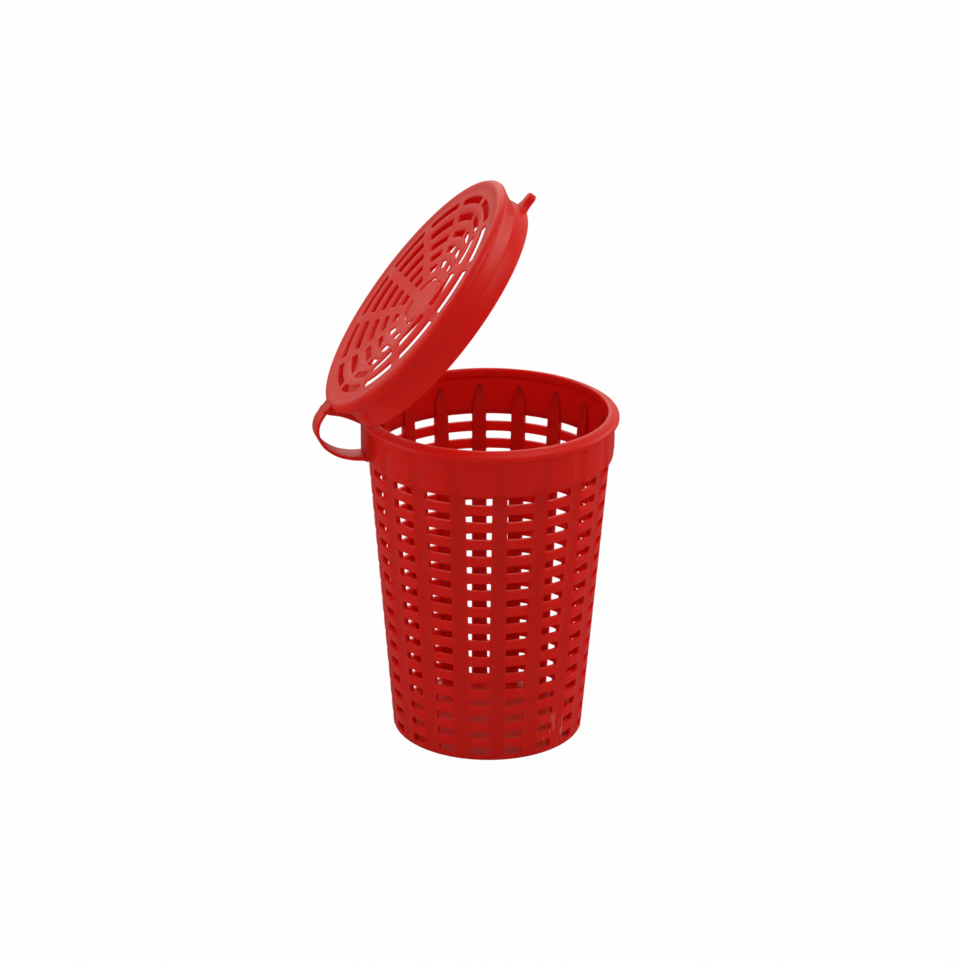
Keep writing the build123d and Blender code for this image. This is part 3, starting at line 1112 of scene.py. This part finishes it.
def strap_places(points):
    """Places of the strap's section along its line, and the line's length."""
    lengths = [(b - a).length for a, b in zip(points, points[1:])]
    total = sum(lengths)
    across_end = lid_place.to_3x3() @ Vector((0, 1, 0))
    places = []
    travelled = 0.0
    for index, point in enumerate(points):
        before, after = points[max(index - 1, 0)], points[min(index + 1, len(points) - 1)]
        along = (after - before).normalized()
        across = Vector((0, 1, 0)).lerp(across_end, travelled / total)
        across = (across - along * across.dot(along)).normalized()
        inside = along.cross(across)
        fillet = ROOT_FILLET[0] * math.exp(-travelled / ROOT_FILLET[1])
        fillet += END_FILLET[0] * math.exp(-(total - travelled) / END_FILLET[1])
        place = Matrix((across, inside, along)).transposed().to_4x4()
        place.translation = point + inside * fillet / 2
        size = Matrix.Diagonal((STRAP_WIDTH, STRAP_THICKNESS + fillet, 1, 1))
        places.append(place @ size)
        if index < len(lengths):
            travelled += lengths[index]
    return places, total


def make_strap(points):
    """The flat band between the anchor and the pad, along the strap's line."""
    places, total = strap_places(points)
    bm = bmesh.new()
    square = ((-0.5, -0.5), (0.5, -0.5), (0.5, 0.5), (-0.5, 0.5))
    bm.faces.new([bm.verts.new((x, y, 0)) for x, y in square])
    loft(bm, bm.faces[:][0], places)
    bmesh.ops.recalc_face_normals(bm, faces=bm.faces[:])
    soften(bm, sharp_edges(bm, SQUARE_DEGREES), STRAP_ROUND, segments=3)
    print("strap length", round(total, 2))
    piece = finish_piece("strap_band", bm, None, ["hinge_strap"])
    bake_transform(piece)


make_strap(strap_points)

# %% [markdown]
# The floor is a plain pale sheet. To the camera it glows white, as in a product photograph,
# but a small part of it still answers to light, so the box keeps a soft shadow. In gloss the
# floor is dim, because in the photograph the surfaces that face it show almost no sheen.

# %% Floor
WHITE = (1, 1, 1, 1)
FLOOR_COLOUR = (0.8, 0.8, 0.8, 1)
FLOOR_ROUGHNESS = 0.9
FLOOR_SIZE = 4.0
GLOW_SHARE = 0.97
FLOOR_IN_GLOSS = 0.15


def make_studio_white():
    """The floor's material, which is a matt white and a glow in one."""
    material = bpy.data.materials.new("studio_white")
    material.use_nodes = True
    tree = material.node_tree
    shader = tree.nodes["Principled BSDF"]
    shader.inputs["Base Color"].default_value = FLOOR_COLOUR
    shader.inputs["Roughness"].default_value = FLOOR_ROUGHNESS
    paths = add_node(tree, "ShaderNodeLightPath")
    seen = add_node(tree, "ShaderNodeMath", operation="MAXIMUM")
    join(tree, paths, "Is Camera Ray", seen, 0)
    join(tree, paths, "Is Glossy Ray", seen, 1)
    share = add_node(tree, "ShaderNodeMath", operation="MULTIPLY")
    share.inputs[1].default_value = GLOW_SHARE
    join(tree, seen, 0, share, 0)
    glow = add_node(tree, "ShaderNodeEmission", Color=WHITE)
    strength = remap(tree, paths, "Is Glossy Ray", end=(1.0, FLOOR_IN_GLOSS))
    join(tree, strength, 0, glow, "Strength")
    mix = add_node(tree, "ShaderNodeMixShader")
    join(tree, share, 0, mix, 0)
    join(tree, shader, 0, mix, 1)
    join(tree, glow, 0, mix, 2)
    join(tree, mix, 0, tree.nodes["Material Output"], "Surface")
    return material


def make_stage():
    """A pale floor under the box."""
    bm = bmesh.new()
    bmesh.ops.create_grid(bm, x_segments=1, y_segments=1, size=FLOOR_SIZE)
    mesh = bpy.data.meshes.new("studio_floor")
    bm.to_mesh(mesh)
    bm.free()
    mesh.materials.append(make_studio_white())
    floor = add_object("studio_floor", mesh)
    print("floor", floor.name)


make_stage()

# %% [markdown]
# The world is white to the camera, and even and slightly warm as light. In gloss its back is
# bright and its front is dark, as a studio with a lit backdrop is. That gives the lid's top
# its sheen and leaves the front of the basket a deep red.

# %% World
LAMP_COLOUR = (1.0, 0.94, 0.84)
WORLD_AS_LIGHT = 0.46
# From this much towards the front, to this much towards the back, gloss sees these strengths.
GLOSS_DIRECTIONS = (-0.1, 0.8)
GLOSS_STRENGTHS = (0.08, 0.68)


def make_world():
    """A world with one strength for the camera, one as light, and two ends in gloss."""
    world = bpy.data.worlds.new("studio")
    world.use_nodes = True
    scene.world = world
    tree = world.node_tree
    paths = add_node(tree, "ShaderNodeLightPath")
    compass = add_node(tree, "ShaderNodeTexCoord")
    axes = add_node(tree, "ShaderNodeSeparateXYZ")
    join(tree, compass, "Generated", axes, 0)
    in_gloss = remap(tree, axes, "Y", start=GLOSS_DIRECTIONS, end=GLOSS_STRENGTHS)
    unseen = remap(tree, paths, "Is Glossy Ray", end=(WORLD_AS_LIGHT, 1.0))
    join(tree, in_gloss, 0, unseen, "To Max")
    strength = remap(tree, paths, "Is Camera Ray")
    join(tree, unseen, 0, strength, "To Min")
    tint = add_node(tree, "ShaderNodeMix", data_type="RGBA")
    tint.inputs[6].default_value = (*LAMP_COLOUR, 1)
    tint.inputs[7].default_value = WHITE
    join(tree, paths, "Is Camera Ray", tint, "Factor")
    background = tree.nodes["Background"]
    join(tree, tint, 2, background, "Color")
    join(tree, strength, 0, background, "Strength")
    print("world", world.name)


make_world()

# %% [markdown]
# Four softboxes shape the box: a weak one on the left, a stronger one on the right that gives
# the rim and the lid their pale ends, one above that reaches into the mouth past the lid, and
# one behind that shines through the thin wall.

# %% Lamps
LAMP_AIM = Vector((0, 0, 0.1))


def add_softbox(name, place, size, power):
    """A square area lamp that looks at the middle of the box."""
    data = bpy.data.lights.new(name, "AREA")
    data.shape = "SQUARE"
    data.size = size
    data.energy = power
    data.color = LAMP_COLOUR
    lamp = add_object(name, data)
    lamp.location = place
    aim = LAMP_AIM - Vector(place)
    lamp.rotation_euler = aim.to_track_quat("-Z", "Y").to_euler()
    print(name, power, "W")


add_softbox("softbox_left", (-0.8, 0.1, 0.3), 0.6, 1.2)
add_softbox("softbox_right", (0.85, 0.1, 0.3), 0.6, 1.8)
add_softbox("softbox_top", (0.25, -0.25, 0.85), 0.6, 1.9)
add_softbox("softbox_back", (0.1, 0.9, 0.7), 0.8, 2.0)
scene.view_settings.view_transform = "Standard"
